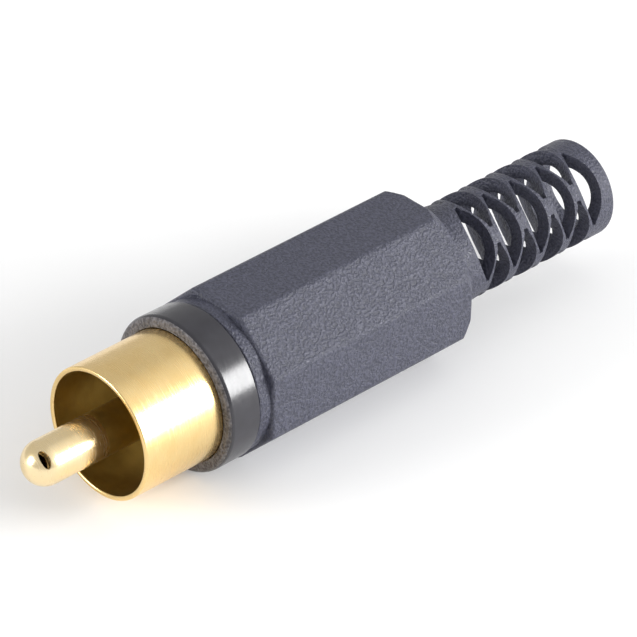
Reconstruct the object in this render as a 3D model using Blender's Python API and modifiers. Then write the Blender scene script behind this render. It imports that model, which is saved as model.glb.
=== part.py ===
"""Phono plug with a screw-on octagonal handle and a moulded strain relief.

The plug lies on one flat of its handle. Its axis runs along X: the centre pin points to -X and
the cable end to +X. The origin is under the middle of the plug, on the surface it lies on.
Axial places are measured from the rim of the cup, positive towards the cable end.
"""

import math

import bmesh
import bpy
from mathutils import Matrix, Vector

MM = 0.001

# Fits between the pieces
SEAT_GAP = 0.3 * MM          # between pieces that rest on or in each other
THREAD_GAP = 0.3 * MM        # between the neck's thread crests and what screws or slides over them

# Centre pin, a turned brass tube with a closed round tip
PIN_DIAMETER = 3.2 * MM
PIN_BORE = 2.0 * MM
PIN_REACH = 6.25 * MM        # tip in front of the cup's rim
PIN_TIP_WALL = 0.65 * MM
PIN_COLLAR_DIAMETER = 4.6 * MM
PIN_COLLAR_LENGTH = 0.8 * MM
PIN_TAIL = 2.9 * MM          # solder bucket behind the shell
BUCKET_CUT_LENGTH = 2.2 * MM
BUCKET_CUT_HEIGHT = 0.3 * MM  # floor of the cut above the axis
VENT_LENGTH = 0.7 * MM       # solder vent beside the tip, along the pin
VENT_WIDTH = 1.3 * MM
VENT_SETBACK = 0.85 * MM     # behind the tip
VENT_ANGLE = math.radians(132)  # from +Y over the top

# Ground shell, turned brass: cup, threaded neck and the spigot that is flared over the lug
CUP_DIAMETER = 9.55 * MM
CUP_WALL = 0.35 * MM
CUP_LENGTH = 7.9 * MM
CUP_FLOOR = 0.45 * MM
CUP_RIM_ROUND = 0.12 * MM
NECK_DIAMETER = 7.9 * MM
NECK_LENGTH = 7.3 * MM
NECK_BORE = 6.0 * MM
NECK_END_WALL = 0.6 * MM
SPIGOT_DIAMETER = 5.0 * MM
SPIGOT_WALL = 0.4 * MM
FLARE_DIAMETER = 6.0 * MM
FLARE_THICKNESS = 0.3 * MM

# Insulators, one on each side of the pin's collar
INSULATOR_FLANGE_THICKNESS = 0.95 * MM
FRONT_INSULATOR_NOSE = 3.65 * MM

# Ground lug, stamped from sheet brass
LUG_SHEET = 0.4 * MM
LUG_WASHER_GAP = 0.3 * MM    # between the washer's edge and the handle's hollow
LUG_TAIL_WIDTH = 2.4 * MM
LUG_TAIL_LENGTH = 4.4 * MM
LUG_HOLE = 1.2 * MM
LUG_CLAMP_LENGTH = 2.6 * MM
LUG_CLAMP_GAP = 0.5 * MM     # between the clamp's back and the handle's hollow
LUG_CLAMP_ANGLE = math.radians(220)

# Colour ring
RING_WALL = 0.575 * MM       # outside the cup, in the ring's counterbore
RING_OVERLAP = 1.2 * MM      # how far it reaches over the cup's rear end
RING_LENGTH = 2.63 * MM
RING_FRONT_ROUND = 0.35 * MM
RING_REAR_CHAMFER = 0.12 * MM
RING_TAPER = 0.03 * MM       # radius lost from front to rear

# Handle
FLAT_STEP = 0.05 * MM        # flats stand this far outside the ring
LIP_STEP = 0.15 * MM         # the lip's skin lies this far inside the ring's
LIP_LENGTH = 0.75 * MM
LIP_ROUND = 0.12 * MM
OCTAGON_LENGTH = 18.7 * MM
OCTAGON_EDGE_ROUND = 0.22 * MM
OCTAGON_REAR_CHAMFER = math.radians(32)  # its slope to the axis
HANDLE_FEMALE_LENGTH = 7.3 * MM
CAVITY_DIAMETER = 8.2 * MM
CAVITY_END_WALL = 1.38 * MM  # from where the hollow narrows to the grip's rear end
CAVITY_CONE = 1.5 * MM

# Boot, moulded in one piece with the handle
BOOT_DIAMETER = 7.2 * MM
BOOT_WALL = 1.0 * MM
BOOT_COLLAR = 2.76 * MM      # plain stretch between the handle and the first windows
BOOT_FILLET = 0.6 * MM
BOOT_END_RING = 1.10 * MM
BOOT_END_ROUND = 0.2 * MM
WINDOW_PITCH = 2.64 * MM
WINDOW_WIDTH = 1.76 * MM     # at the boot's outer surface
WINDOW_DRAFT = math.radians(4)  # each wall leans in towards the bore
WINDOW_ROWS = 5
WINDOW_COLUMNS = 3           # windows side by side in each row
WINDOW_HALF_ANGLE = math.radians(50)
WINDOW_POWER = 2.1           # how full the pointed outline is
WINDOW_TIP = 0.3 * MM
WINDOW_COLUMN_ANGLE = math.radians(141.5)  # first column, from +Y over the top

# How finely round shapes are divided
ROUND_STEPS = 40
SMALL_STEPS = 28
TIP_STEPS = 10
VENT_STEPS = 16
ARC_STEPS = 3
WINDOW_STEPS = 8
CUT_MARGIN = 0.5 * MM        # how far cutters reach past what they cut

# Places that follow from the sizes
PIN_RADIUS = PIN_DIAMETER / 2
CUP_RADIUS = CUP_DIAMETER / 2
NECK_RADIUS = NECK_DIAMETER / 2
RING_RADIUS = CUP_RADIUS + SEAT_GAP + RING_WALL
LIP_RADIUS = RING_RADIUS - LIP_STEP
BOOT_RADIUS = BOOT_DIAMETER / 2
BOOT_BORE_RADIUS = BOOT_RADIUS - BOOT_WALL
SPIGOT_RADIUS = SPIGOT_DIAMETER / 2
FLARE_RADIUS = FLARE_DIAMETER / 2
AXIS_HEIGHT = RING_RADIUS + FLAT_STEP  # half the grip's width across flats
OCTAGON_CORNER_RADIUS = AXIS_HEIGHT / math.cos(math.pi / 8)

CUP_FLOOR_FRONT = CUP_LENGTH - CUP_FLOOR
NECK_END = CUP_LENGTH + NECK_LENGTH
LUG_FRONT = NECK_END + SEAT_GAP
LUG_WASHER_DIAMETER = CAVITY_DIAMETER - 2 * LUG_WASHER_GAP
LUG_CLAMP_DIAMETER = CAVITY_DIAMETER - 2 * LUG_CLAMP_GAP
FLARE_FRONT = LUG_FRONT + LUG_SHEET + SEAT_GAP
SHELL_END = FLARE_FRONT + FLARE_THICKNESS
PIN_END = SHELL_END + PIN_TAIL

FRONT_INSULATOR_FRONT = CUP_FLOOR_FRONT - SEAT_GAP - INSULATOR_FLANGE_THICKNESS
FRONT_INSULATOR_END = FRONT_INSULATOR_FRONT + INSULATOR_FLANGE_THICKNESS + FRONT_INSULATOR_NOSE
PIN_COLLAR_FRONT = FRONT_INSULATOR_END + SEAT_GAP
REAR_INSULATOR_FRONT = PIN_COLLAR_FRONT + PIN_COLLAR_LENGTH + SEAT_GAP
REAR_INSULATOR_END = NECK_END - NECK_END_WALL - SEAT_GAP

RING_FRONT = CUP_LENGTH - RING_OVERLAP
RING_REAR = RING_FRONT + RING_LENGTH
HANDLE_FRONT = RING_REAR + SEAT_GAP
OCTAGON_FRONT = HANDLE_FRONT + LIP_LENGTH
OCTAGON_REAR = OCTAGON_FRONT + OCTAGON_LENGTH
CAVITY_END = OCTAGON_REAR - CAVITY_END_WALL
FIRST_WINDOW = OCTAGON_REAR + BOOT_COLLAR + WINDOW_WIDTH / 2
LAST_WINDOW = FIRST_WINDOW + (WINDOW_ROWS - 1) * WINDOW_PITCH
BOOT_END = LAST_WINDOW + WINDOW_WIDTH / 2 + BOOT_END_RING
WINDOW_COLUMN_SPACING = 2 * math.pi / WINDOW_COLUMNS

RIM_X = (PIN_REACH - BOOT_END) / 2  # puts the origin under the middle of the length

PARTS_COLLECTION = "phono_plug"
CUTTERS_COLLECTION = "cutters"


def clear_scene():
    """Start from an empty scene with the two collections."""
    for item in list(bpy.data.objects):
        bpy.data.objects.remove(item)
    for name in (PARTS_COLLECTION, CUTTERS_COLLECTION):
        bpy.context.scene.collection.children.link(bpy.data.collections.new(name))


def make_material(name, colour, roughness, metallic):
    """A plain Principled material."""
    material = bpy.data.materials.new(name)
    material.use_nodes = True
    shader = material.node_tree.nodes["Principled BSDF"]
    shader.inputs["Base Color"].default_value = (*colour, 1.0)
    shader.inputs["Roughness"].default_value = roughness
    shader.inputs["Metallic"].default_value = metallic
    return material


def make_axis(name):
    """An empty on the plug's axis at the cup's rim; its local Z runs to the cable end."""
    empty = bpy.data.objects.new(name, None)
    empty.location = (RIM_X, 0.0, AXIS_HEIGHT)
    empty.rotation_euler = (0.0, math.pi / 2, 0.0)
    bpy.data.collections[PARTS_COLLECTION].objects.link(empty)
    return empty


def add_object(name, mesh, parent, place, material=None):
    """Link a mesh as a part, or as a cutter where it has no material."""
    item = bpy.data.objects.new(name, mesh)
    item.parent = parent
    item.location = (0.0, 0.0, place)
    if material:
        mesh.materials.append(material)
        bpy.data.collections[PARTS_COLLECTION].objects.link(item)
    else:
        item.hide_render = True
        item.display_type = "WIRE"
        bpy.data.collections[CUTTERS_COLLECTION].objects.link(item)
    return item


def mesh_from(name, bm):
    """Turn a closed bmesh into a mesh with outward normals."""
    bmesh.ops.recalc_face_normals(bm, faces=bm.faces[:])
    mesh = bpy.data.meshes.new(name)
    bm.to_mesh(mesh)
    bm.free()
    return mesh


def arc(centre, radius, start, end, steps=ARC_STEPS):
    """Points of an arc in (axial, radial) coordinates, angles in degrees from the axial way."""
    points = []
    for step in range(steps + 1):
        angle = math.radians(start + (end - start) * step / steps)
        points.append((centre[0] + radius * math.cos(angle), centre[1] + radius * math.sin(angle)))
    return points


def turned(name, outline, parent, place, material=None, steps=ROUND_STEPS):
    """Turn an outline of (axial, radius) points: outer side front to rear, then back inside."""
    bm = bmesh.new()
    corners = [bm.verts.new((radius, 0.0, axial)) for axial, radius in reversed(outline)]
    for corner, following in zip(corners, corners[1:]):
        bm.edges.new((corner, following))
    if min(radius for _, radius in outline) > 0.0:
        bm.edges.new((corners[-1], corners[0]))
    mesh = bpy.data.meshes.new(name)
    bm.to_mesh(mesh)
    bm.free()
    item = add_object(name, mesh, parent, place, material)
    screw = item.modifiers.new("turn", "SCREW")
    screw.axis = "Z"
    screw.steps = steps
    screw.render_steps = steps
    screw.use_merge_vertices = True
    screw.merge_threshold = 1e-6
    return item


def combine(item, operation, other):
    """Join, cut or intersect a part with another object."""
    boolean = item.modifiers.new(other.name, "BOOLEAN")
    boolean.operation = operation
    boolean.object = other


def side_way(angle):
    """Local direction across the axis for an angle measured from +Y over the top."""
    return Vector((-math.sin(angle), math.cos(angle), 0.0))


def block(name, size, centre, parent, material=None):
    """A box of the given size around a local centre."""
    bm = bmesh.new()
    bmesh.ops.create_cube(bm, size=1.0)
    bmesh.ops.scale(bm, vec=size, verts=bm.verts[:])
    bmesh.ops.translate(bm, vec=centre, verts=bm.verts[:])
    return add_object(name, mesh_from(name, bm), parent, 0.0, material)


def make_pin(parent, brass):
    """Hollow centre pin: round tip, collar, bore, vent and solder bucket."""
    tip_centre = (PIN_RADIUS - PIN_REACH, 0.0)
    outline = arc(tip_centre, PIN_RADIUS, 180, 90, TIP_STEPS)
    outline[0] = (-PIN_REACH, 0.0)
    outline += [
        (PIN_COLLAR_FRONT, PIN_RADIUS),
        (PIN_COLLAR_FRONT, PIN_COLLAR_DIAMETER / 2),
        (PIN_COLLAR_FRONT + PIN_COLLAR_LENGTH, PIN_COLLAR_DIAMETER / 2),
        (PIN_COLLAR_FRONT + PIN_COLLAR_LENGTH, PIN_RADIUS),
        (PIN_END, PIN_RADIUS),
        (PIN_END, PIN_BORE / 2),
        (PIN_TIP_WALL - PIN_REACH, PIN_BORE / 2),
        (PIN_TIP_WALL - PIN_REACH, 0.0),
    ]
    pin = turned("centre_pin", outline, parent, 0.0, brass, SMALL_STEPS)

    cut_depth = PIN_DIAMETER
    bucket_cut = block(
        "bucket_cut",
        (cut_depth, PIN_DIAMETER + 2 * CUT_MARGIN, BUCKET_CUT_LENGTH + CUT_MARGIN),
        (-BUCKET_CUT_HEIGHT - cut_depth / 2, 0.0, PIN_END - (BUCKET_CUT_LENGTH - CUT_MARGIN) / 2),
        parent,
    )
    combine(pin, "DIFFERENCE", bucket_cut)

    bm = bmesh.new()
    bmesh.ops.create_cone(
        bm, cap_ends=True, segments=VENT_STEPS, radius1=0.5, radius2=0.5, depth=PIN_RADIUS
    )
    bmesh.ops.scale(bm, vec=(VENT_WIDTH, VENT_LENGTH, 1.0), verts=bm.verts[:])
    outward = side_way(VENT_ANGLE)
    along = Vector((0.0, 0.0, 1.0))
    turn = Matrix((outward.cross(along), along, outward)).transposed().to_4x4()
    middle = outward * PIN_RADIUS + along * (VENT_SETBACK - PIN_REACH)
    bmesh.ops.transform(bm, matrix=Matrix.Translation(middle) @ turn, verts=bm.verts[:])
    combine(pin, "DIFFERENCE", add_object("vent_cut", mesh_from("vent_cut", bm), parent, 0.0))
    return pin


def make_shell(parent, brass):
    """Ground shell: cup, neck and flared spigot in one turned piece."""
    inner = CUP_RADIUS - CUP_WALL
    rim = CUP_RIM_ROUND
    outline = arc((rim, CUP_RADIUS - rim), rim, 180, 90, steps=2)
    outline += [
        (CUP_LENGTH, CUP_RADIUS),
        (CUP_LENGTH, NECK_RADIUS),
        (NECK_END, NECK_RADIUS),
        (NECK_END, SPIGOT_RADIUS),
        (FLARE_FRONT, SPIGOT_RADIUS),
        (FLARE_FRONT, FLARE_RADIUS),
        (SHELL_END, FLARE_RADIUS),
        (SHELL_END, SPIGOT_RADIUS - SPIGOT_WALL),
        (NECK_END - NECK_END_WALL, SPIGOT_RADIUS - SPIGOT_WALL),
        (NECK_END - NECK_END_WALL, NECK_BORE / 2),
        (CUP_FLOOR_FRONT, NECK_BORE / 2),
        (CUP_FLOOR_FRONT, inner),
    ]
    outline += arc((rim, inner + rim), rim, 270, 180, steps=2)
    return turned("ground_shell", outline, parent, 0.0, brass)


def make_insulators(parent, plastic):
    """Flanged front bush and plain rear bush, on either side of the pin's collar."""
    bore = PIN_RADIUS + SEAT_GAP
    body = NECK_BORE / 2 - SEAT_GAP
    flange = CUP_RADIUS - CUP_WALL - SEAT_GAP
    thickness = INSULATOR_FLANGE_THICKNESS
    length = FRONT_INSULATOR_END - FRONT_INSULATOR_FRONT
    front_outline = [
        (0.0, flange),
        (thickness, flange),
        (thickness, body),
        (length, body),
        (length, bore),
        (0.0, bore),
    ]
    turned("front_insulator", front_outline, parent, FRONT_INSULATOR_FRONT, plastic)
    length = REAR_INSULATOR_END - REAR_INSULATOR_FRONT
    rear_outline = [(0.0, body), (length, body), (length, bore), (0.0, bore)]
    turned("rear_insulator", rear_outline, parent, REAR_INSULATOR_FRONT, plastic)


def make_lug(parent, brass):
    """Stamped ground lug: washer on the spigot, tail with a wire hole, rolled cable clamp."""
    washer_outline = [
        (0.0, LUG_WASHER_DIAMETER / 2),
        (LUG_SHEET, LUG_WASHER_DIAMETER / 2),
        (LUG_SHEET, SPIGOT_RADIUS + SEAT_GAP),
        (0.0, SPIGOT_RADIUS + SEAT_GAP),
    ]
    lug = turned("ground_lug", washer_outline, parent, LUG_FRONT, brass)

    outer = LUG_CLAMP_DIAMETER / 2
    overlap = LUG_SHEET / 2
    tail_end = LUG_FRONT + LUG_SHEET + LUG_TAIL_LENGTH
    tail = block(
        "lug_tail",
        (LUG_SHEET, LUG_TAIL_WIDTH, tail_end - LUG_FRONT),
        (outer - LUG_SHEET / 2, 0.0, (tail_end + LUG_FRONT) / 2 + overlap),
        parent,
    )

    bm = bmesh.new()
    section = [
        (outer, tail_end + LUG_CLAMP_LENGTH),
        (outer, tail_end),
        (outer - LUG_SHEET, tail_end),
        (outer - LUG_SHEET, tail_end + LUG_CLAMP_LENGTH),
    ]
    corners = [bm.verts.new((radius, 0.0, axial)) for radius, axial in section]
    face = bm.faces.new(corners)
    bmesh.ops.rotate(
        bm, matrix=Matrix.Rotation(-LUG_CLAMP_ANGLE / 2, 3, "Z"), verts=bm.verts[:]
    )
    bmesh.ops.spin(
        bm, geom=[face], axis=(0.0, 0.0, 1.0), cent=(0.0, 0.0, 0.0), dvec=(0.0, 0.0, 0.0),
        angle=LUG_CLAMP_ANGLE, steps=ROUND_STEPS // 2,
    )
    clamp = add_object("lug_clamp", mesh_from("lug_clamp", bm), parent, 0.0)

    hole_place = LUG_FRONT + LUG_SHEET + LUG_TAIL_LENGTH / 2
    bm = bmesh.new()
    bmesh.ops.create_cone(
        bm, cap_ends=True, segments=SMALL_STEPS // 2, radius1=LUG_HOLE / 2,
        radius2=LUG_HOLE / 2, depth=LUG_SHEET + 2 * CUT_MARGIN,
    )
    lay = Matrix.Translation((outer, 0.0, hole_place)) @ Matrix.Rotation(math.pi / 2, 4, "Y")
    bmesh.ops.transform(bm, matrix=lay, verts=bm.verts[:])
    hole = add_object("lug_hole", mesh_from("lug_hole", bm), parent, 0.0)

    combine(lug, "UNION", tail)
    combine(lug, "UNION", clamp)
    combine(lug, "DIFFERENCE", hole)
    return lug


def make_ring(parent, plastic):
    """Colour ring: it slips over the cup's shoulder and is held by the handle's lip."""
    front_round = RING_FRONT_ROUND
    rear_radius = RING_RADIUS - RING_TAPER
    counterbore = CUP_RADIUS + SEAT_GAP
    step = CUP_LENGTH + SEAT_GAP - RING_FRONT
    outline = arc((front_round, RING_RADIUS - front_round), front_round, 180, 90)
    outline += [
        (RING_LENGTH - RING_REAR_CHAMFER, rear_radius),
        (RING_LENGTH, rear_radius - RING_REAR_CHAMFER),
        (RING_LENGTH, NECK_RADIUS + THREAD_GAP),
        (step, NECK_RADIUS + THREAD_GAP),
        (step, counterbore),
        (0.0, counterbore),
    ]
    return turned("colour_ring", outline, parent, RING_FRONT, plastic)


def octagon_prism(parent, plastic):
    """The grip, with its long edges and its front edge rounded."""
    bm = bmesh.new()
    bmesh.ops.create_cone(
        bm, cap_ends=True, segments=8, radius1=OCTAGON_CORNER_RADIUS,
        radius2=OCTAGON_CORNER_RADIUS, depth=OCTAGON_LENGTH,
    )
    bmesh.ops.rotate(bm, matrix=Matrix.Rotation(math.pi / 8, 3, "Z"), verts=bm.verts[:])
    bmesh.ops.translate(bm, vec=(0.0, 0.0, OCTAGON_LENGTH / 2), verts=bm.verts[:])
    handle = add_object("handle", mesh_from("handle", bm), parent, OCTAGON_FRONT, plastic)
    bevel = handle.modifiers.new("edge_round", "BEVEL")
    bevel.width = OCTAGON_EDGE_ROUND
    bevel.segments = 2
    bevel.limit_method = "ANGLE"
    return handle


def chamfer_envelope(parent):
    """A turned solid around the grip that leaves arcs at the rear ends of its flats."""
    outside = OCTAGON_CORNER_RADIUS + CUT_MARGIN
    drop = outside - AXIS_HEIGHT
    slope_start = OCTAGON_LENGTH - drop / math.tan(OCTAGON_REAR_CHAMFER)
    outline = [
        (-CUT_MARGIN, 0.0),
        (-CUT_MARGIN, outside),
        (slope_start, outside),
        (OCTAGON_LENGTH + CUT_MARGIN, AXIS_HEIGHT - CUT_MARGIN * math.tan(OCTAGON_REAR_CHAMFER)),
        (OCTAGON_LENGTH + CUT_MARGIN, 0.0),
    ]
    return turned("chamfer_envelope", outline, parent, OCTAGON_FRONT)


def handle_core(parent):
    """The round stretches of the handle: lip in front, boot behind, joined through the grip."""
    waist = OCTAGON_FRONT + OCTAGON_LENGTH / 2
    fillet = BOOT_FILLET
    outline = [(HANDLE_FRONT, 0.0)]
    outline += arc((HANDLE_FRONT + LIP_ROUND, LIP_RADIUS - LIP_ROUND), LIP_ROUND, 180, 90, steps=2)
    outline += [(waist, LIP_RADIUS), (waist, BOOT_RADIUS + fillet)]
    outline += arc((OCTAGON_REAR + fillet, BOOT_RADIUS + fillet), fillet, 180, 270)
    outline += arc((BOOT_END - BOOT_END_ROUND, BOOT_RADIUS - BOOT_END_ROUND), BOOT_END_ROUND, 90, 0)
    outline += [(BOOT_END, 0.0)]
    return turned("handle_core", outline, parent, 0.0)


def handle_bore(parent):
    """The hollow through the handle: threaded mouth, cavity, cone and the boot's bore."""
    mouth = NECK_RADIUS + THREAD_GAP
    cavity = CAVITY_DIAMETER / 2
    thread_end = HANDLE_FRONT + HANDLE_FEMALE_LENGTH
    outline = [
        (HANDLE_FRONT - CUT_MARGIN, 0.0),
        (HANDLE_FRONT - CUT_MARGIN, mouth),
        (thread_end, mouth),
        (thread_end, cavity),
        (CAVITY_END, cavity),
        (CAVITY_END + CAVITY_CONE, BOOT_BORE_RADIUS),
        (BOOT_END + CUT_MARGIN, BOOT_BORE_RADIUS),
        (BOOT_END + CUT_MARGIN, 0.0),
    ]
    return turned("handle_bore", outline, parent, 0.0)


def window_cut(name, parent, first_angle, first_place, rows):
    """Pointed windows in evenly spaced columns, cut straight towards the axis."""
    inner = BOOT_BORE_RADIUS - CUT_MARGIN
    outer = BOOT_RADIUS + CUT_MARGIN
    bm = bmesh.new()
    for index in range(WINDOW_COLUMNS):
        column = first_angle + index * WINDOW_COLUMN_SPACING
        for row in range(rows):
            place = first_place + row * WINDOW_PITCH
            grid = bmesh.ops.create_grid(bm, x_segments=WINDOW_STEPS, y_segments=1, size=1.0)
            faces = list({face for corner in grid["verts"] for face in corner.link_faces})
            lifted = bmesh.ops.extrude_face_region(bm, geom=faces, use_keep_orig=True)
            raised = [item for item in lifted["geom"] if isinstance(item, bmesh.types.BMVert)]
            for corner in raised:
                corner.co.z = 1.0
            for corner in grid["verts"] + raised:
                share, side, height = corner.co
                radius = inner + (outer - inner) * height
                lens = WINDOW_WIDTH / 2 * (1.0 - abs(share) ** WINDOW_POWER)
                half_width = max(lens, WINDOW_TIP / 2) + (radius - BOOT_RADIUS) * math.tan(WINDOW_DRAFT)
                way = side_way(column + share * WINDOW_HALF_ANGLE)
                corner.co = way * radius + Vector((0.0, 0.0, place + side * half_width))
    bmesh.ops.triangulate(bm, faces=bm.faces[:])
    return add_object(name, mesh_from(name, bm), parent, 0.0)


def make_handle(parent, plastic):
    """Handle and boot, moulded in one piece."""
    handle = octagon_prism(parent, plastic)
    combine(handle, "INTERSECT", chamfer_envelope(parent))
    combine(handle, "UNION", handle_core(parent))
    combine(handle, "DIFFERENCE", handle_bore(parent))
    even_windows = window_cut("even_windows", parent, WINDOW_COLUMN_ANGLE, FIRST_WINDOW, WINDOW_ROWS)
    combine(handle, "DIFFERENCE", even_windows)
    odd_windows = window_cut(
        "odd_windows", parent, WINDOW_COLUMN_ANGLE + WINDOW_COLUMN_SPACING / 2,
        FIRST_WINDOW + WINDOW_PITCH / 2, WINDOW_ROWS - 1,
    )
    combine(handle, "DIFFERENCE", odd_windows)
    return handle


def main():
    """Build the plug."""
    clear_scene()
    gold = make_material("gold_plate", (0.93, 0.72, 0.36), 0.18, 1.0)
    ivory = make_material("insulator_plastic", (0.75, 0.72, 0.64), 0.45, 0.0)
    smooth_black = make_material("smooth_black_plastic", (0.03, 0.03, 0.033), 0.3, 0.0)
    grained_black = make_material("grained_black_plastic", (0.04, 0.04, 0.045), 0.55, 0.0)

    contacts_axis = make_axis("contacts_axis")
    ring_axis = make_axis("ring_axis")
    handle_axis = make_axis("handle_axis")

    make_pin(contacts_axis, gold)
    make_shell(contacts_axis, gold)
    make_insulators(contacts_axis, ivory)
    make_lug(contacts_axis, gold)
    make_ring(ring_axis, smooth_black)
    make_handle(handle_axis, grained_black)


main()
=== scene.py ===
# %% [markdown]
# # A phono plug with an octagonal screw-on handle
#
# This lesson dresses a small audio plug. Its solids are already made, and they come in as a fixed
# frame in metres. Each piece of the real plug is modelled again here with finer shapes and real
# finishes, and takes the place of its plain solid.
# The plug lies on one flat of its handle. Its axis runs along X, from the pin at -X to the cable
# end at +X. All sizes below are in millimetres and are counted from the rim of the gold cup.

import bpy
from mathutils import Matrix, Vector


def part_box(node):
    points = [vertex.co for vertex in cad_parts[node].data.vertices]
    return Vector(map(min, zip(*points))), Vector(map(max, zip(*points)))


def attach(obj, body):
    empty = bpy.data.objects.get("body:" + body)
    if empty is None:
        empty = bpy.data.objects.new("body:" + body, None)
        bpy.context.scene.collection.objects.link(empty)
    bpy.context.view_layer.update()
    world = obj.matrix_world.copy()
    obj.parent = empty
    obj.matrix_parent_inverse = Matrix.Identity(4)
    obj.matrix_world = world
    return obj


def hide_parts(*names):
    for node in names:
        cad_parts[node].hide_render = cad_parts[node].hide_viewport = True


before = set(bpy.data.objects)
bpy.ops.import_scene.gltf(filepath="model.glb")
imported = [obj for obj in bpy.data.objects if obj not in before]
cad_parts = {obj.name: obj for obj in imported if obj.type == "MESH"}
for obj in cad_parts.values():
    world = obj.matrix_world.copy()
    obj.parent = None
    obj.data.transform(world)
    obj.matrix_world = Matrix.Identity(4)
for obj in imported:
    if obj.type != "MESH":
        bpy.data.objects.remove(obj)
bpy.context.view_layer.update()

# %% Units and the plug's axis
import math

import bpy
from mathutils import Matrix, Vector

MM = 0.001
RIM_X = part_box("ground_shell")[0].x
AXIS_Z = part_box("handle")[1].z / 2
print(f"rim of the cup at x = {RIM_X / MM:.3f} mm, axis {AXIS_Z / MM:.2f} mm above the table")

# %% [markdown]
# ## Helpers for turned pieces
#
# Pin, cup, ring and bushes are made on a lathe or in round moulds. One outline in the plane
# through the axis describes each of them. It could be built ring by ring, but drawing the outline
# once and spinning it is shorter, and every radius can be read in one list.

# %% Select and edit
MERGE = 1e-6                            # metres; points closer than this are one point


def select_only(piece):
    """Select one object alone and make it the active one."""
    bpy.ops.object.select_all(action="DESELECT")
    piece.select_set(True)
    bpy.context.view_layer.objects.active = piece


def start_editing(piece):
    """Enter edit mode on one object, with all of its mesh selected."""
    select_only(piece)
    bpy.ops.object.mode_set(mode="EDIT")
    bpy.ops.mesh.select_all(action="SELECT")


def merge_and_face_outwards():
    """In edit mode, merge points that meet, turn all faces outwards, and leave edit mode."""
    bpy.ops.mesh.select_all(action="SELECT")
    bpy.ops.mesh.remove_doubles(threshold=MERGE)
    bpy.ops.mesh.normals_make_consistent(inside=False)
    bpy.ops.object.mode_set(mode="OBJECT")


# %% Draw an outline and spin it
def draw_outline(outline, start_x=RIM_X, start_z=AXIS_Z):
    """Draw (place, radius) points as a chain of edges in a new object, and stay in edit mode."""
    bpy.ops.object.select_all(action="DESELECT")
    bpy.ops.mesh.primitive_plane_add(size=MM)
    piece = bpy.context.object
    bpy.ops.object.mode_set(mode="EDIT")
    bpy.ops.mesh.merge(type="CENTER")
    place, radius = outline[0]
    bpy.ops.transform.translate(value=(start_x + place * MM, 0.0, start_z + radius * MM))
    for (place, radius), (next_place, next_radius) in zip(outline, outline[1:]):
        step = ((next_place - place) * MM, 0.0, (next_radius - radius) * MM)
        bpy.ops.mesh.extrude_region_move(TRANSFORM_OT_translate={"value": step})
    return piece


def spin_outline(name, outline, steps):
    """Spin a list of (place, radius) points around the plug's axis into a closed skin."""
    piece = draw_outline(outline)
    piece.name = name
    bpy.ops.mesh.select_all(action="SELECT")
    bpy.ops.mesh.spin(steps=steps, angle=math.tau, center=(0.0, 0.0, AXIS_Z), axis=(1.0, 0.0, 0.0))
    merge_and_face_outwards()
    return piece


def arc(place, radius, size, start, end, steps):
    """Points of an arc around (place, radius); 0 degrees points to the cable, 90 outwards."""
    points = []
    for step in range(steps + 1):
        angle = math.radians(start + (end - start) * step / steps)
        points.append((place + size * math.cos(angle), radius + size * math.sin(angle)))
    return points


# %% Small finishing helpers
SLIVER = 2e-6                           # metres; what a cut may leave between two near edges


def add_modifier(piece, kind, **values):
    """Add a modifier, set its values and apply it at once."""
    modifier = piece.modifiers.new(kind.lower(), kind)
    for key, value in values.items():
        setattr(modifier, key, value)
    select_only(piece)
    bpy.ops.object.modifier_apply(modifier=modifier.name)


def soften(piece, width, segments=2, angle=40):
    """Round every edge sharper than the angle, as tumbling or plating does."""
    add_modifier(piece, "BEVEL", width=width * MM, segments=segments, limit_method="ANGLE",
                 angle_limit=math.radians(angle), miter_outer="MITER_ARC")


def combine(piece, operation, tool):
    """Join, cut or intersect a piece with a tool, and remove the tool and the slivers it leaves."""
    add_modifier(piece, "BOOLEAN", operation=operation, object=tool, solver="EXACT")
    bpy.data.objects.remove(tool)
    start_editing(piece)
    bpy.ops.mesh.remove_doubles(threshold=SLIVER)
    bpy.ops.mesh.dissolve_degenerate(threshold=SLIVER)
    bpy.ops.object.mode_set(mode="OBJECT")


def set_down(piece):
    """Put the object's origin back at the world's, with the place kept in the mesh."""
    select_only(piece)
    bpy.ops.object.transform_apply(location=True, rotation=True, scale=True)


def add_box(size, middle):
    """A plain box as a cutting or joining tool, both given in metres."""
    bpy.ops.mesh.primitive_cube_add(size=1.0)
    box = bpy.context.object
    box.scale = size
    box.location = middle
    set_down(box)
    return box


def place_and_radius(face):
    """Where a face's centre is along the axis and how far from it, in millimetres."""
    from_axis = Vector((0.0, face.center.y, face.center.z - AXIS_Z)).length
    return (face.center.x - RIM_X) / MM, from_axis / MM


def finish(piece, node, body, materials, smooth=32):
    """Shade a piece, dress it, and let it stand for its plain solid.

    Rounded edges are shaded smooth, and the large flats between them keep their own direction.
    """
    select_only(piece)
    bpy.ops.object.shade_smooth_by_angle(angle=math.radians(smooth))
    add_modifier(piece, "WEIGHTED_NORMAL", keep_sharp=True)
    for material in materials:
        piece.data.materials.append(material)
    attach(piece, body)
    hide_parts(node)
    print(f"{piece.name}: {len(piece.data.polygons)} faces")
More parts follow.
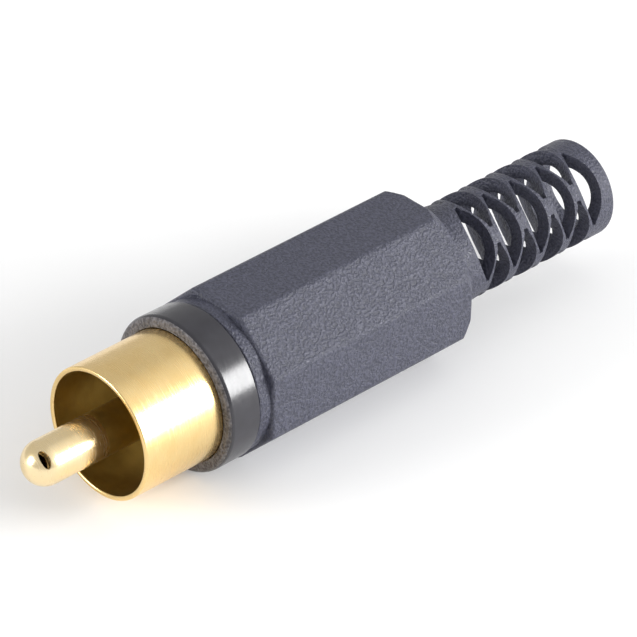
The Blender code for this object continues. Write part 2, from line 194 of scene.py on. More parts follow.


# %% [markdown]
# ## Finishes
#
# The metal pieces are gold plate over turned brass. It is palest on the pin and warmer on the cup.
# Inside the cup, and on the pin's part within it, the plate is darker and duller: painted shade and
# painted dark reflection of the hollow. The bushes are plain ivory plastic. The colour ring is
# smooth semi-gloss plastic, but its front face is as grained as the handle, which came from a
# spark-eroded mould, and its grains are painted paler as painted light. The valleys of the grains
# carry painted shade. All patterns are made from the object's own coordinates, so they stay in
# place from every side and need no picture.

# %% Node helpers
def new_material(name, colour, roughness, metallic=0.0):
    """A Principled material; returns it with its tree, its shader and its coordinates."""
    material = bpy.data.materials.new(name)
    material.use_nodes = True
    tree = material.node_tree
    shader = tree.nodes["Principled BSDF"]
    shader.inputs["Base Color"].default_value = (*colour, 1.0)
    shader.inputs["Roughness"].default_value = roughness
    shader.inputs["Metallic"].default_value = metallic
    coordinates = tree.nodes.new("ShaderNodeTexCoord")
    return material, tree, shader, coordinates.outputs["Object"]


def noise(tree, vector, scale, detail=2.0, stretch=(1.0, 1.0, 1.0)):
    """Noise with features of about one millimetre at scale 1; stretch above 1 packs it tighter."""
    mapping = tree.nodes.new("ShaderNodeMapping")
    mapping.inputs["Scale"].default_value = [1000.0 * scale * value for value in stretch]
    tree.links.new(vector, mapping.inputs["Vector"])
    texture = tree.nodes.new("ShaderNodeTexNoise")
    texture.inputs["Scale"].default_value = 1.0
    texture.inputs["Detail"].default_value = detail
    tree.links.new(mapping.outputs["Vector"], texture.inputs["Vector"])
    return texture.outputs["Fac"]


def spread(tree, value, low, high, start=0.3, end=0.7):
    """Map a pattern's middle range onto low to high."""
    ranger = tree.nodes.new("ShaderNodeMapRange")
    ranger.inputs["From Min"].default_value = start
    ranger.inputs["From Max"].default_value = end
    ranger.inputs["To Min"].default_value = low
    ranger.inputs["To Max"].default_value = high
    tree.links.new(value, ranger.inputs["Value"])
    return ranger.outputs["Result"]


def tint(tree, value, first, second, start=0.3, end=0.7):
    """Blend two colours by a pattern."""
    ramp = tree.nodes.new("ShaderNodeValToRGB")
    ramp.color_ramp.elements[0].position = start
    ramp.color_ramp.elements[0].color = (*first, 1.0)
    ramp.color_ramp.elements[1].position = end
    ramp.color_ramp.elements[1].color = (*second, 1.0)
    tree.links.new(value, ramp.inputs["Fac"])
    return ramp.outputs["Color"]


def relief(tree, shader, height, depth, strength=1.0, under=None):
    """Bump of a real depth in millimetres, stacked on an earlier one if given."""
    bump = tree.nodes.new("ShaderNodeBump")
    bump.inputs["Strength"].default_value = strength
    bump.inputs["Distance"].default_value = depth * MM
    tree.links.new(height, bump.inputs["Height"])
    if under is not None:
        tree.links.new(under, bump.inputs["Normal"])
    tree.links.new(bump.outputs["Normal"], shader.inputs["Normal"])
    return bump.outputs["Normal"]


# %% Gold plate, with fine turning lines and faint clouding
def gold_finish(name, pale, deep, roughness):
    """Plated brass: lines from the lathe run round the axis, so they change quickly along X."""
    material, tree, shader, coords = new_material(name, pale, roughness, metallic=1.0)
    clouds = noise(tree, coords, scale=0.7, detail=3.0)
    tree.links.new(tint(tree, clouds, deep, pale), shader.inputs["Base Color"])
    marks = noise(tree, coords, scale=1.0, detail=4.0, stretch=(9.0, 0.6, 0.6))
    worn = spread(tree, marks, low=roughness * 0.8, high=roughness * 1.25)
    tree.links.new(worn, shader.inputs["Roughness"])
    lines = noise(tree, coords, scale=1.0, detail=2.0, stretch=(16.0, 0.25, 0.25))
    relief(tree, shader, lines, depth=0.0012, strength=0.5)
    return material


bright_gold = gold_finish("gold_plate_on_the_pin", pale=(0.95, 0.77, 0.47),
                          deep=(0.92, 0.72, 0.40), roughness=0.24)
cup_gold = gold_finish("gold_plate_on_the_cup", pale=(0.93, 0.69, 0.33),
                       deep=(0.90, 0.64, 0.28), roughness=0.25)
# Painted shade: a darker, duller plate for the inside of the cup and the pin's part within it,
# standing for the shade and the dark reflection in the hollow.
shaded_gold = gold_finish("gold_plate_painted_shade_in_the_cup", pale=(0.60, 0.43, 0.13),
                        deep=(0.48, 0.335, 0.09), roughness=0.38)
print("gold plate ready")

# %% Insulator plastic, plain and slightly waxy
insulator, tree, shader, coords = new_material("insulator_ivory", (0.62, 0.58, 0.48), 0.42)
patches = noise(tree, coords, scale=0.8, detail=2.0)
ivory = tint(tree, patches, first=(0.56, 0.52, 0.43), second=(0.66, 0.62, 0.52))
tree.links.new(ivory, shader.inputs["Base Color"])
tree.links.new(spread(tree, patches, low=0.36, high=0.5), shader.inputs["Roughness"])
relief(tree, shader, noise(tree, coords, scale=6.0), depth=0.004, strength=0.4)

# %% Ring plastic, smooth with a faint flow pattern and handling marks
ring_black, tree, shader, coords = new_material("ring_black_smooth", (0.040, 0.039, 0.047), 0.30)
flow = noise(tree, coords, scale=1.2, detail=4.0)
black = tint(tree, flow, first=(0.014, 0.013, 0.018), second=(0.022, 0.021, 0.028))
tree.links.new(black, shader.inputs["Base Color"])
scuffs = noise(tree, coords, scale=1.0, detail=5.0, stretch=(5.0, 1.4, 1.4))
tree.links.new(spread(tree, scuffs, low=0.16, high=0.26), shader.inputs["Roughness"])
relief(tree, shader, noise(tree, coords, scale=9.0, detail=3.0), depth=0.004, strength=0.5)
shader.inputs["Specular IOR Level"].default_value = 0.75


# %% Grained plastic, with the wrinkled texture of a spark-eroded mould
def grained_finish(name, dark, light, depth, roughness, edge=0.07):
    """Wrinkled grains about 0.2 mm across, with painted shade in their valleys, and softly worn
    edges.
    """
    material, tree, shader, coords = new_material(name, dark, roughness)
    worn = tree.nodes.new("ShaderNodeBevel")
    worn.samples = 4
    worn.inputs["Radius"].default_value = edge * MM
    grains = noise(tree, coords, scale=5.2, detail=3.0)
    wrinkles = spread(tree, grains, low=0.0, high=1.0, start=0.36, end=0.64)
    fine = noise(tree, coords, scale=11.0, detail=2.0)
    coarse = relief(tree, shader, wrinkles, depth, strength=1.0, under=worn.outputs["Normal"])
    relief(tree, shader, fine, depth * 0.35, strength=0.8, under=coarse)
    # Painted shade: the grains' valleys are coloured darker than their crests.
    black = tint(tree, wrinkles, dark, light, start=0.0, end=1.0)
    tree.links.new(black, shader.inputs["Base Color"])
    gloss = spread(tree, fine, low=roughness * 0.85, high=roughness * 1.2)
    tree.links.new(gloss, shader.inputs["Roughness"])
    return material


handle_black = grained_finish("handle_black_grained", dark=(0.038, 0.040, 0.060),
                              light=(0.070, 0.072, 0.106), depth=0.048, roughness=0.42)
# Painted light: the ring's front face has the handle's grain, but its crests are coloured far
# paler, standing for the light that falls on this face.
ring_face_painted_light = grained_finish("ring_grained_painted_light", dark=(0.045, 0.042, 0.046),
                           light=(0.19, 0.18, 0.19), depth=0.06, roughness=0.42)
print("plastics ready")

# %% [markdown]
# ## Centre pin
#
# The pin is a brass tube with a round nose and a collar that sits between the two bushes. The wire
# goes in from behind and is soldered, and a small slanted vent beside the nose lets the solder
# breathe. The tail is cut open as a solder bucket. The tube is spun, and the vent and the bucket
# are cut out of it with two simple tools.

# %% Pin
PIN_R = 1.6
PIN_BORE_R = 1.0
PIN_TIP = -6.25
PIN_END = 19.4
BORE_FRONT = PIN_TIP + 0.65
COLLAR_FRONT, COLLAR_REAR, COLLAR_R = 11.1, 11.9, 2.3
CUP_SIDE_FROM, CUP_SIDE_TO = -0.4, 3.0  # extra rings, so that the painted shade can start between them

pin_outline = [(PIN_TIP, 0.0)]
pin_outline += arc(PIN_TIP + PIN_R, 0.0, PIN_R, 180, 90, steps=20)[1:]
pin_outline += [
    (CUP_SIDE_FROM, PIN_R), (CUP_SIDE_TO, PIN_R),
    (COLLAR_FRONT, PIN_R), (COLLAR_FRONT, COLLAR_R), (COLLAR_REAR, COLLAR_R), (COLLAR_REAR, PIN_R),
    (PIN_END, PIN_R), (PIN_END, PIN_BORE_R), (BORE_FRONT, PIN_BORE_R), (BORE_FRONT, 0.0),
]
pin = spin_outline("pin_gold", pin_outline, steps=80)

# %% Vent
VENT_ANGLE = math.radians(132)          # from +Y over the top
VENT_LENGTH, VENT_WIDTH = 1.3, 0.55
VENT_PLACE = PIN_TIP + 0.85

bpy.ops.object.select_all(action="DESELECT")
bpy.ops.mesh.primitive_cylinder_add(vertices=40, radius=0.5 * MM, depth=PIN_R * MM)
vent = bpy.context.object               # 1 mm across, until it is stretched to the oval
outward = Vector((0.0, math.cos(VENT_ANGLE), math.sin(VENT_ANGLE)))
along = Vector((1.0, 0.0, 0.0))
turn = Matrix((along.cross(outward), along, outward)).transposed().to_4x4()
middle = Vector((RIM_X + VENT_PLACE * MM, 0.0, AXIS_Z)) + outward * PIN_R * MM
oval = Matrix.Diagonal((VENT_LENGTH, VENT_WIDTH, 1.0, 1.0))
vent.matrix_world = Matrix.Translation(middle) @ turn @ oval
set_down(vent)
combine(pin, "DIFFERENCE", vent)

# %% Solder bucket
BUCKET_LENGTH, BUCKET_WIDTH, BUCKET_HEIGHT = 2.7, 4.2, 3.2
BUCKET_PLACE = PIN_END - 0.85
BUCKET_RISE = 1.9                       # the box's middle above the axis, so a trough is left

combine(pin, "DIFFERENCE", add_box(
    size=(BUCKET_LENGTH * MM, BUCKET_WIDTH * MM, BUCKET_HEIGHT * MM),
    middle=(RIM_X + BUCKET_PLACE * MM, 0.0, AXIS_Z + BUCKET_RISE * MM),
))
soften(pin, width=0.035, segments=2, angle=35)

# %% Painted shade on the pin's part inside the cup
PAINTED_SHADE_FROM = -0.1                        # the pin's outside gets the painted shade from just before the cup's rim

finish(pin, "centre_pin", "contacts", [bright_gold, shaded_gold])
# The faces inside the cup take the darker plate: painted reflection of the dark cup and painted
# shade.
for face in pin.data.polygons:
    place, radius = place_and_radius(face)
    if place > PAINTED_SHADE_FROM and radius > PIN_R - 0.1:
        face.material_index = 1

# %% [markdown]
# ## Ground shell
#
# Cup, threaded neck and spigot are turned from one bar. The cup's wall is only about a third of a
# millimetre thick, with a bright rounded rim. The neck carries a right-hand thread for the handle.
# The shell is spun first. The thread is one small ridge with a flat crest, swept along a helix with
# the Screw modifier, which is how a lathe cuts it too.

# %% Shell
CUP_R = 4.775
CUP_WALL = 0.35
CUP_BORE_R = CUP_R - CUP_WALL
CUP_REAR = 7.9
CUP_FLOOR = 7.45
RIM_ROUND, REAR_ROUND, FLOOR_ROUND = 0.12, 0.06, 0.25
CUP_RINGS = (4.0, 0.6)                  # extra rings inside, so that the painted shade can start between them
SHOULDER_END, SHOULDER_R = 8.5, 3.95
NECK_REAR, NECK_ROOT_R = 14.9, 3.52
NECK_SLOPE = 0.1                        # length of the cone at each end of the neck
NECK_END, NECK_END_R = 15.2, 3.75
SPIGOT_R = 2.5
FLARE_FRONT, FLARE_REAR, FLARE_R, FLARE_EDGE = 16.2, 16.5, 3.0, 0.08
WIRE_BORE_R = 2.1
BUSH_STOP, BUSH_BORE_R = 14.6, 3.0      # the bore that holds the bushes, and where it ends

shell_outline = arc(RIM_ROUND, CUP_R - RIM_ROUND, RIM_ROUND, 180, 90, steps=5)
shell_outline += arc(CUP_REAR - REAR_ROUND, CUP_R - REAR_ROUND, REAR_ROUND, 90, 0, steps=3)
shell_outline += [
    (CUP_REAR, SHOULDER_R), (SHOULDER_END, SHOULDER_R),
    (SHOULDER_END + NECK_SLOPE, NECK_ROOT_R), (NECK_REAR, NECK_ROOT_R),
    (NECK_REAR + NECK_SLOPE, NECK_END_R), (NECK_END, NECK_END_R), (NECK_END, SPIGOT_R),
    (FLARE_FRONT, SPIGOT_R), (FLARE_FRONT, FLARE_R - FLARE_EDGE),
    (FLARE_FRONT + FLARE_EDGE, FLARE_R), (FLARE_REAR - FLARE_EDGE, FLARE_R),
    (FLARE_REAR, FLARE_R - FLARE_EDGE), (FLARE_REAR, WIRE_BORE_R), (BUSH_STOP, WIRE_BORE_R),
    (BUSH_STOP, BUSH_BORE_R), (CUP_FLOOR, BUSH_BORE_R),
]
shell_outline += arc(CUP_FLOOR - FLOOR_ROUND, CUP_BORE_R - FLOOR_ROUND, FLOOR_ROUND, 0, 90, steps=4)
shell_outline += [(place, CUP_BORE_R) for place in CUP_RINGS]
shell_outline += arc(RIM_ROUND, CUP_BORE_R + RIM_ROUND, RIM_ROUND, 270, 180, steps=5)
shell_outline += [shell_outline[0]]
shell = spin_outline("shell_gold", shell_outline, steps=128)

# %% Thread on the neck
PITCH = 0.75
THREAD_START = 8.95
THREAD_TURNS = 7.6
THREAD_STEPS = 72                       # in one turn
THREAD_FOOT = 0.30                      # half the ridge's width at its foot
THREAD_CREST = 0.05                     # half its width at its crest
THREAD_HEIGHT = 0.47
THREAD_FOOT_R = NECK_ROOT_R - 0.04      # a little inside the neck, so no gap shows

crest_r = THREAD_FOOT_R + THREAD_HEIGHT
thread = draw_outline([
    (-THREAD_FOOT, THREAD_FOOT_R), (-THREAD_CREST, crest_r), (THREAD_CREST, crest_r),
    (THREAD_FOOT, THREAD_FOOT_R), (-THREAD_FOOT, THREAD_FOOT_R),
], start_x=0.0, start_z=0.0)
merge_and_face_outwards()
thread_steps = int(THREAD_STEPS * THREAD_TURNS)
add_modifier(thread, "SCREW", axis="X", angle=math.tau * THREAD_TURNS,
             screw_offset=PITCH * THREAD_TURNS * MM, steps=thread_steps,
             render_steps=thread_steps, use_smooth_shade=True)
thread.location = (RIM_X + THREAD_START * MM, 0.0, AXIS_Z)
set_down(thread)
start_editing(thread)
bpy.ops.mesh.fill_holes(sides=0)
bpy.ops.mesh.select_all(action="SELECT")
bpy.ops.mesh.normals_make_consistent(inside=False)
bpy.ops.object.mode_set(mode="OBJECT")
thread_box = [corner[0] for corner in thread.bound_box]
thread_from, thread_to = (min(thread_box) - RIM_X) / MM, (max(thread_box) - RIM_X) / MM
print(f"thread from {thread_from:.2f} to {thread_to:.2f} mm")

# %% Join the thread to the neck and dress the shell
PAINTED_SHADE_INSIDE = (0.2, 7.5)                # where the cup's inside gets the painted shade: from the rim to its floor

bpy.ops.object.select_all(action="DESELECT")
thread.select_set(True)
shell.select_set(True)
bpy.context.view_layer.objects.active = shell
bpy.ops.object.join()
finish(shell, "ground_shell", "contacts", [cup_gold, shaded_gold])
# The inside of the cup takes the darker plate: painted shade and painted dark reflection.
for face in shell.data.polygons:
    place, radius = place_and_radius(face)
    if PAINTED_SHADE_INSIDE[0] < place < PAINTED_SHADE_INSIDE[1] and radius < CUP_BORE_R + 0.05:
        face.material_index = 1

# %% [markdown]
# ## Bushes
#
# Two plastic bushes hold the pin in the middle of the shell and keep it from touching. The front
# one has a flange that closes the bottom of the cup. Both are plain turned shapes with small
# chamfers.

# %% Front bush
BUSH_R = 2.7
PIN_HOLE_R = 1.9
FLANGE_FRONT, FLANGE_REAR, FLANGE_R, FLANGE_EDGE = 6.2, 7.15, 4.125, 0.075
FRONT_BUSH_END, FRONT_BUSH_EDGE = 10.8, 0.1

front_bush = spin_outline("bush_front", [
    (FLANGE_FRONT, FLANGE_R - FLANGE_EDGE), (FLANGE_FRONT + FLANGE_EDGE, FLANGE_R),
    (FLANGE_REAR, FLANGE_R), (FLANGE_REAR, BUSH_R), (FRONT_BUSH_END - FRONT_BUSH_EDGE, BUSH_R),
    (FRONT_BUSH_END, BUSH_R - FRONT_BUSH_EDGE), (FRONT_BUSH_END, PIN_HOLE_R),
    (FLANGE_FRONT, PIN_HOLE_R), (FLANGE_FRONT, FLANGE_R - FLANGE_EDGE),
], steps=96)
finish(front_bush, "front_insulator", "contacts", [insulator])

# %% Rear bush
REAR_BUSH_START, REAR_BUSH_END, REAR_BUSH_EDGE = 12.2, 14.3, 0.08

rear_bush = spin_outline("bush_rear", [
    (REAR_BUSH_START, BUSH_R - REAR_BUSH_EDGE), (REAR_BUSH_START + REAR_BUSH_EDGE, BUSH_R),
    (REAR_BUSH_END - REAR_BUSH_EDGE, BUSH_R), (REAR_BUSH_END, BUSH_R - REAR_BUSH_EDGE),
    (REAR_BUSH_END, PIN_HOLE_R), (REAR_BUSH_START, PIN_HOLE_R),
    (REAR_BUSH_START, BUSH_R - REAR_BUSH_EDGE),
], steps=64)
finish(rear_bush, "rear_insulator", "contacts", [insulator])

# %% [markdown]
# ## Ground lug
#
# A strip of sheet brass carries the cable's shield. Its washer sits under the flared end of the
# shell, its tail has a hole for a wire, and its end is rolled into a clamp round the cable. The
# washer is spun, the tail is a box joined to it, and the clamp is a flat strip spun only part of
# the way round.

# %% Washer and tail
LUG_SHEET = 0.4
WASHER_FRONT, WASHER_R, WASHER_BORE_R = 15.5, 3.8, 2.8
WASHER_REAR = WASHER_FRONT + LUG_SHEET
CLAMP_R = 3.6
STRIP_DROP = CLAMP_R - LUG_SHEET / 2    # the strip's middle below the axis
TAIL_PLACE, TAIL_LENGTH, TAIL_WIDTH = 18.1, 4.8, 2.4

lug = spin_outline("lug_brass", [
    (WASHER_FRONT, WASHER_R), (WASHER_REAR, WASHER_R), (WASHER_REAR, WASHER_BORE_R),
    (WASHER_FRONT, WASHER_BORE_R), (WASHER_FRONT, WASHER_R),
], steps=64)
combine(lug, "UNION", add_box(
    size=(TAIL_LENGTH * MM, TAIL_WIDTH * MM, LUG_SHEET * MM),
    middle=(RIM_X + TAIL_PLACE * MM, 0.0, AXIS_Z - STRIP_DROP * MM),
))

# %% Rolled clamp
CLAMP_PLACE, CLAMP_LENGTH = 21.6, 2.6
CLAMP_WRAP = 220                        # degrees of the circle that the clamp goes round

bpy.ops.object.select_all(action="DESELECT")
bpy.ops.mesh.primitive_plane_add(size=1.0)
clamp = bpy.context.object
bpy.ops.object.mode_set(mode="EDIT")
bpy.ops.transform.resize(value=(CLAMP_LENGTH * MM, LUG_SHEET * MM, 1.0))
bpy.ops.transform.rotate(value=math.pi / 2, orient_axis="X", center_override=(0.0, 0.0, 0.0))
bpy.ops.transform.translate(value=(RIM_X + CLAMP_PLACE * MM, 0.0, AXIS_Z - STRIP_DROP * MM))
bpy.ops.transform.rotate(value=math.radians(-CLAMP_WRAP / 2), orient_axis="X",
                         center_override=(0.0, 0.0, AXIS_Z))
bpy.ops.mesh.spin(steps=40, angle=math.radians(CLAMP_WRAP), center=(0.0, 0.0, AXIS_Z),
                  axis=(1.0, 0.0, 0.0))
merge_and_face_outwards()
clamp_heights = [vertex.co.z / MM for vertex in clamp.data.vertices]
print(f"clamp: z from {min(clamp_heights):.2f} to {max(clamp_heights):.2f} mm")
combine(lug, "UNION", clamp)

# %% Wire hole
WIRE_HOLE_R = 0.6

bpy.ops.mesh.primitive_cylinder_add(vertices=32, radius=WIRE_HOLE_R * MM, depth=2.0 * MM)
hole = bpy.context.object
hole.location = (RIM_X + TAIL_PLACE * MM, 0.0, AXIS_Z - CLAMP_R * MM)
set_down(hole)
combine(lug, "DIFFERENCE", hole)
soften(lug, width=0.05, segments=2)
finish(lug, "ground_lug", "contacts", [bright_gold])

# %% [markdown]
# ## Colour ring
#
# The ring marks the channel. It is a smooth moulding that slips over the neck, with a rounded
# front edge, a tiny chamfer behind and a step inside that clears the cup. It is spun like the
# others, in more steps because its rounded edge catches the light.

# %% Ring
RING_R = 5.65
RING_FRONT = 6.7
RING_REAR = 9.33
RING_ROUND = 0.35
RING_STEP = 8.2                         # where the bore narrows from the cup to the neck
RING_CUP_R, RING_NECK_R = 4.81, 4.25
BORE_EDGE = 0.05
FACE_DEPTH = 0.2                        # how far back from the front the grained face with painted light reaches

ring_outline = arc(RING_FRONT + RING_ROUND, RING_R - RING_ROUND, RING_ROUND, 180, 90, steps=10)
ring_outline += [
    (RING_REAR - 0.12, RING_R - 0.03), (RING_REAR - 0.04, RING_R - 0.06),
    (RING_REAR, RING_R - 0.15), (RING_REAR, RING_NECK_R), (RING_STEP, RING_NECK_R),
    (RING_STEP, RING_CUP_R), (RING_FRONT + BORE_EDGE, RING_CUP_R),
    (RING_FRONT, RING_CUP_R + BORE_EDGE),
]
ring_outline += [ring_outline[0]]
ring = spin_outline("ring_black", ring_outline, steps=144)
finish(ring, "colour_ring", "ring", [ring_black, ring_face_painted_light])
# The front face takes the grained plastic painted paler: real grain with painted light.
for face in ring.data.polygons:
    if face.normal.x < -0.7 and face.center.x < RIM_X + (RING_FRONT + FACE_DEPTH) * MM:
        face.material_index = 1

# %% [markdown]
# ## Handle and strain relief
#
# Grip and strain relief are one black moulding. The grip is an octagonal prism with softly rounded
# long edges. Behind, each flat ends in a shallow arc, as on a nut, because the mould was turned.
# So the prism is intersected with a turned envelope. The round lip and the boot come from a second
# turned body, and the hollow inside is a third one that is cut away.

# %% Octagonal grip
FLAT_R = 5.7
GRIP_FRONT = 10.38
GRIP_REAR = 29.08
EIGHTH = math.pi / 8                    # half the angle between two corners of the octagon

bpy.ops.object.select_all(action="DESELECT")
bpy.ops.mesh.primitive_cylinder_add(vertices=8, radius=FLAT_R / math.cos(EIGHTH) * MM,
                                    depth=(GRIP_REAR - GRIP_FRONT) * MM)
handle = bpy.context.object
handle.name = "handle_black"
handle.rotation_euler = (0.0, math.pi / 2, 0.0)
handle.location = (RIM_X + (GRIP_FRONT + GRIP_REAR) / 2 * MM, 0.0, AXIS_Z)
set_down(handle)
start_editing(handle)
bpy.ops.transform.rotate(value=EIGHTH, orient_axis="X", center_override=(0.0, 0.0, AXIS_Z))
bpy.ops.object.mode_set(mode="OBJECT")
soften(handle, width=0.24, segments=4)
low = min(vertex.co.z for vertex in handle.data.vertices)
print(f"lowest point of the grip {low / MM:.4f} mm")

# %% Envelope that rounds the rear ends of the flats
REAR_SLOPE = math.radians(32)
ENVELOPE_R = 6.7
SPARE = 0.5                             # how far a tool reaches past the piece that it shapes

slope_start = GRIP_REAR - (ENVELOPE_R - FLAT_R) / math.tan(REAR_SLOPE)
combine(handle, "INTERSECT", spin_outline("envelope", [
    (GRIP_FRONT - SPARE, 0.0), (GRIP_FRONT - SPARE, ENVELOPE_R), (slope_start, ENVELOPE_R),
    (GRIP_REAR + SPARE, FLAT_R - SPARE * math.tan(REAR_SLOPE)), (GRIP_REAR + SPARE, 0.0),
], steps=160))

# %% Lip and boot body
LIP_FRONT, LIP_R, LIP_ROUND = 9.41, 5.5, 0.12
CORE_STEP = 19.0                        # inside the grip, where the lip's radius ends
BOOT_R = 3.6
BOOT_END = 45.26
BOOT_ROUND = 0.2
FILLET = 0.6

core_outline = [(LIP_FRONT, 0.0)]
core_outline += arc(LIP_FRONT + LIP_ROUND, LIP_R - LIP_ROUND, LIP_ROUND, 180, 90, steps=4)
core_outline += [(CORE_STEP, LIP_R), (CORE_STEP, BOOT_R + FILLET)]
core_outline += arc(GRIP_REAR + FILLET, BOOT_R + FILLET, FILLET, 180, 270, steps=8)
core_outline += arc(BOOT_END - BOOT_ROUND, BOOT_R - BOOT_ROUND, BOOT_ROUND, 90, 0, steps=5)
core_outline += [(BOOT_END, 0.0)]
combine(handle, "UNION", spin_outline("core", core_outline, steps=90))

# %% Hollow for the thread, the wires and the cable
MOUTH_FRONT, MOUTH_REAR, MOUTH_R = 9.1, 16.93, 4.25
CAVITY_END, CAVITY_R = 27.7, 4.1
BOOT_BORE_START, BOOT_BORE_R = 29.2, 2.6
MOUTH_EDGE = 0.12                       # length of the cone at the cable end, inside the boot
MOUTH_FLARE = 0.6                       # how much wider the tool is at its own end

combine(handle, "DIFFERENCE", spin_outline("hollow", [
    (MOUTH_FRONT, 0.0), (MOUTH_FRONT, MOUTH_R), (MOUTH_REAR, MOUTH_R), (MOUTH_REAR, CAVITY_R),
    (CAVITY_END, CAVITY_R), (BOOT_BORE_START, BOOT_BORE_R), (BOOT_END - MOUTH_EDGE, BOOT_BORE_R),
    (BOOT_END + SPARE, BOOT_BORE_R + MOUTH_FLARE), (BOOT_END + SPARE, 0.0),
], steps=72))
print(f"handle so far: {len(handle.data.polygons)} faces")

# %% [markdown]
# ### Windows of the strain relief
#
# Rows of pointed windows let the boot bend. Each row has three, and the next row is turned by half
# a step, so only thin arms and small bridges are left between them. One window tool is made from a
# grid that is bent round the axis. Each window gets its own tool, turned and moved into place, and
# is cut alone, because many tools at once leave slivers where their walls nearly meet.

# %% One window tool
WINDOW_WIDTH = 1.76
WINDOW_TIP = 0.3                        # width that is left at the pointed ends
WINDOW_HALF_ANGLE = math.radians(50)
WINDOW_POWER = 2.1                      # 2 would be a parabola; more keeps the lens fuller
WINDOW_STEPS = 16
WINDOW_SKINS = (2.1, 4.1)               # radius of the tool's inner and outer skin
DRAFT = math.tan(math.radians(4))


def window_tool(column, place):
    """A closed wedge with a pointed outline, standing across the boot's wall."""
    bpy.ops.object.select_all(action="DESELECT")
    bpy.ops.mesh.primitive_grid_add(x_subdivisions=WINDOW_STEPS, y_subdivisions=1, size=2.0)
    tool = bpy.context.object
    bpy.ops.object.mode_set(mode="EDIT")
    bpy.ops.mesh.extrude_region_move(TRANSFORM_OT_translate={"value": (0.0, 0.0, 1.0)})
    bpy.ops.mesh.select_all(action="SELECT")
    bpy.ops.mesh.normals_make_consistent(inside=False)
    bpy.ops.object.mode_set(mode="OBJECT")
    for vertex in tool.data.vertices:
        share, side, skin = vertex.co
        radius = WINDOW_SKINS[round(skin)]
        lens = max(WINDOW_WIDTH / 2 * (1.0 - abs(share) ** WINDOW_POWER), WINDOW_TIP / 2)
        half = lens + (radius - BOOT_R) * DRAFT
        angle = column + share * WINDOW_HALF_ANGLE
        vertex.co = (
            RIM_X + (place + math.copysign(half, side)) * MM,
            radius * math.cos(angle) * MM,
            AXIS_Z + radius * math.sin(angle) * MM,
        )
    start_editing(tool)
    bpy.ops.mesh.quads_convert_to_tris()
    bpy.ops.mesh.normals_make_consistent(inside=False)
    bpy.ops.object.mode_set(mode="OBJECT")
    return tool


# %% Cut all the windows
WINDOW_PITCH = 2.64
FIRST_WINDOW = 32.72
COLUMN_ANGLE = math.radians(141.5)
COLUMNS = 3

for odd, rows in ((0, 5), (1, 4)):
    for row in range(rows):
        place = FIRST_WINDOW + (row + odd / 2) * WINDOW_PITCH
        for column in range(COLUMNS):
            angle = COLUMN_ANGLE + math.radians(120 * column + 60 * odd)
            combine(handle, "DIFFERENCE", window_tool(angle, place))
    print(f"after {rows} rows of windows: {len(handle.data.polygons)} faces")
finish(handle, "handle", "handle_body", [handle_black], smooth=30)

# %% [markdown]
# ## Studio
#
# The plug lies on a pale table in a white tent. The tent is a bit brighter on the right in front of
# the plug. One low lamp on the same side lights the flats of the handle and draws the highlight
# along the ring, and a lamp on the left lights the ring's front face.

# %% Table
TABLE_SIZE = 3.0                        # metres
TABLE_GAP = 0.02                        # keeps the table's face from meeting the handle's flat

bpy.ops.object.select_all(action="DESELECT")
bpy.ops.mesh.primitive_plane_add(size=TABLE_SIZE, location=(0.0, 0.0, -TABLE_GAP * MM))
table = bpy.context.object
table.name = "table"
paper, tree, shader, coords = new_material("table_white", (0.92, 0.92, 0.92), 0.8)
shader.inputs["Specular IOR Level"].default_value = 0.2
fibres = noise(tree, coords, scale=0.4, detail=3.0)
tree.links.new(spread(tree, fibres, low=0.76, high=0.86), shader.inputs["Roughness"])
table.data.materials.append(paper)

# %% Lift the table's white for the camera alone
CAMERA_LIFT = 0.06

seen = tree.nodes.new("ShaderNodeLightPath")
lift = tree.nodes.new("ShaderNodeMath")
lift.operation = "MULTIPLY"
lift.inputs[1].default_value = CAMERA_LIFT
tree.links.new(seen.outputs["Is Camera Ray"], lift.inputs[0])
tree.links.new(lift.outputs[0], shader.inputs["Emission Strength"])

# %% Camera at the photograph's angle
IMAGE = 637
FOCAL_PX = 5339.273
RIM_PX = (97.865, 434.327)              # where the middle of the cup's rim is in the picture
DISTANCE = 349.02
SENSOR = 36.0

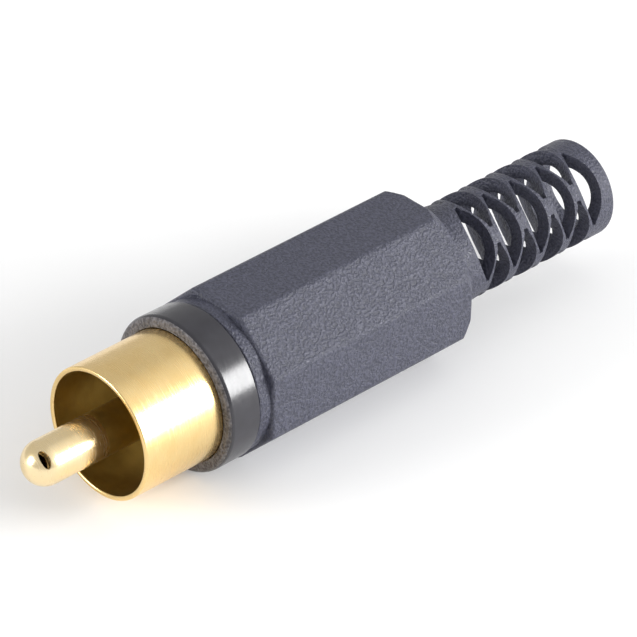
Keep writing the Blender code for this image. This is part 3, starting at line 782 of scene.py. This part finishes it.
azimuth, elevation, roll = math.radians(-44.849), math.radians(34.064), math.radians(1.784)
back = Vector((math.sin(azimuth) * math.cos(elevation), -math.cos(azimuth) * math.cos(elevation),
               math.sin(elevation)))
right = Vector((0.0, 0.0, 1.0)).cross(back).normalized()
up = back.cross(right)
right, up = (math.cos(roll) * right + math.sin(roll) * up,
             math.cos(roll) * up - math.sin(roll) * right)
distance = DISTANCE * MM
offset_x = (RIM_PX[0] - IMAGE / 2) / FOCAL_PX * distance
offset_y = (RIM_PX[1] - IMAGE / 2) / FOCAL_PX * distance
eye = Vector((RIM_X, 0.0, AXIS_Z)) - right * offset_x + up * offset_y + back * distance
lens = bpy.data.cameras.new("photo_camera")
lens.sensor_width = SENSOR
lens.lens = FOCAL_PX * SENSOR / IMAGE
lens.clip_start = 0.01
camera = bpy.data.objects.new("photo_camera", lens)
bpy.context.scene.collection.objects.link(camera)
camera.matrix_world = Matrix.Translation(eye) @ Matrix((right, up, back)).transposed().to_4x4()
bpy.context.scene.camera = camera
print("camera at", [round(value / MM, 2) for value in eye], "mm, lens", round(lens.lens, 2))


# %% Lamps
def soft_lamp(name, direction, width, height, radiance, reach=0.6):
    """A rectangular lamp that looks at the plug from the given direction, sizes in metres."""
    data = bpy.data.lights.new(name, "AREA")
    data.shape = "RECTANGLE"
    data.size = width
    data.size_y = height
    data.energy = radiance * math.pi * width * height
    lamp = bpy.data.objects.new(name, data)
    bpy.context.scene.collection.objects.link(lamp)
    way = Vector(direction).normalized()
    lamp.location = way * reach
    lamp.rotation_euler = way.to_track_quat("Z", "Y").to_euler()
    print(f"{name}: {data.energy:.2f} W")


soft_lamp("right_lamp", direction=(0.60, -0.74, 0.30), width=0.34, height=0.28, radiance=14.0)
soft_lamp("left_lamp", direction=(-0.88, 0.40, 0.30), width=0.22, height=0.22, radiance=12.0)

# %% World, brighter on the right in front of the plug
BRIGHT_SIDE = (0.58, -0.62, 0.53)

world = bpy.data.worlds.new("studio")
bpy.context.scene.world = world
world.use_nodes = True
tree = world.node_tree
sky = tree.nodes["Background"]
sky.inputs["Color"].default_value = (1.0, 1.0, 1.0, 1.0)
ways = tree.nodes.new("ShaderNodeTexCoord")
toward = tree.nodes.new("ShaderNodeVectorMath")
toward.operation = "DOT_PRODUCT"
toward.inputs[1].default_value = BRIGHT_SIDE
tree.links.new(ways.outputs["Generated"], toward.inputs[0])
strength = spread(tree, toward.outputs["Value"], low=0.62, high=1.10, start=0.6, end=1.0)
tree.links.new(strength, sky.inputs["Strength"])
bpy.context.scene.view_settings.view_transform = "Standard"
